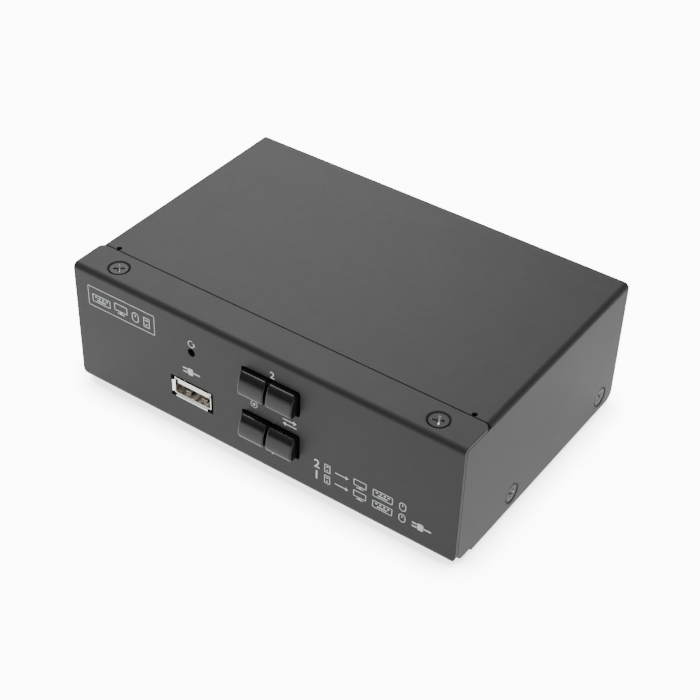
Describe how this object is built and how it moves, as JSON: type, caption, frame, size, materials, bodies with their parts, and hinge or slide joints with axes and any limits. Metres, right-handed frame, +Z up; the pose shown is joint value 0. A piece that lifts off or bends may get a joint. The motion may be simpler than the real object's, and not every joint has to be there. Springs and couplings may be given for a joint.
{
  "type": "kvm switch",
  "caption": "Desktop KVM switch in a folded sheet-steel case: sprung select buttons, reset pinhole and a peripheral socket in front, video, data, audio and power sockets behind.",
  "frame": {"origin": "on the table, under the middle of the whole object's box, buttons included", "axes": "+X to the right seen from the front, +Y from the front panel to the rear panel, +Z up"},
  "size_m": [0.13, 0.0903, 0.0424],
  "materials": {
    "case_paint": "satin charcoal powder coat",
    "screw_black": "black zinc, worn bright in the recess",
    "foot_rubber": "matt",
    "button_gloss": "polished smoked black",
    "switch_plastic": "moulded",
    "plunger_plastic": "moulded",
    "lamp_lens": "clear moulded",
    "board": "solder mask",
    "bracket_steel": "zinc plated",
    "screw_zinc": "zinc plated",
    "connector_black": "moulded",
    "shell_nickel": "satin nickel plate",
    "tongue_white": "moulded",
    "contact_gold": "gold flash",
    "standoff_brass": "machined",
    "chip_black": "moulded",
    "pad_grey": "soft",
    "sink_black": "black anodised",
    "can_metal": "drawn can",
    "ferrite": "pressed"
  },
  "bodies": {
    "case": {"base_tray": "case_paint", "top_cover": "case_paint", "flange_screws": "screw_black", "side_screws": "screw_black", "rubber_feet": "foot_rubber", "button_switch_bodies": "switch_plastic", "reset_switch_body": "switch_plastic", "status_leds": "lamp_lens", "front_board": "board", "main_board": "board", "board_brackets": "bracket_steel", "bracket_screws": "screw_zinc", "board_screws": "screw_zinc", "link_header": "connector_black", "link_socket": "connector_black", "board_standoffs": "standoff_brass", "front_usb_shell": "shell_nickel", "front_usb_tongue": "tongue_white", "front_usb_contacts": "contact_gold", "video_shells": "shell_nickel", "video_cores": "connector_black", "host_usb_shells": "shell_nickel", "host_usb_cores": "connector_black", "console_usb_frame": "shell_nickel", "console_usb_shells": "shell_nickel", "console_usb_tongues": "connector_black", "console_usb_contacts": "contact_gold", "audio_body": "connector_black", "audio_bushings": "shell_nickel", "dc_jack_body": "connector_black", "dc_jack_pin": "shell_nickel", "switch_chip": "chip_black", "thermal_pad": "pad_grey", "heat_sink": "sink_black", "hub_chips": "chip_black", "crystals": "can_metal", "capacitors": "can_metal", "power_inductor": "ferrite"},
    "select_1": {"select_button_1": "button_gloss"},
    "select_2": {"select_button_2": "button_gloss"},
    "switch_1": {"button_plunger_1": "plunger_plastic"},
    "switch_2": {"button_plunger_2": "plunger_plastic"},
    "reset": {"reset_plunger": "plunger_plastic"}
  },
  "joints": [
    {"name": "select_1_press", "type": "slide", "parent": "case", "child": "select_1", "axis": [0, 1, 0], "range_m": [0, 0.0008], "stiffness_N_per_m": 1500, "springref_m": -0.0003},
    {"name": "select_2_press", "type": "slide", "parent": "case", "child": "select_2", "axis": [0, 1, 0], "range_m": [0, 0.0008], "stiffness_N_per_m": 1500, "springref_m": -0.0003},
    {"name": "switch_1_press", "type": "slide", "parent": "case", "child": "switch_1", "axis": [0, 1, 0], "range_m": [0, 0.0008]},
    {"name": "switch_2_press", "type": "slide", "parent": "case", "child": "switch_2", "axis": [0, 1, 0], "range_m": [0, 0.0008]},
    {"name": "reset_press", "type": "slide", "parent": "case", "child": "reset", "axis": [0, 1, 0], "range_m": [0, 0.0005], "stiffness_N_per_m": 1500, "springref_m": -0.0003}
  ],
  "couplings": [
    {"joint": "switch_1_press", "follows": "select_1_press", "ratio": 1},
    {"joint": "switch_2_press", "follows": "select_2_press", "ratio": 1}
  ]
}
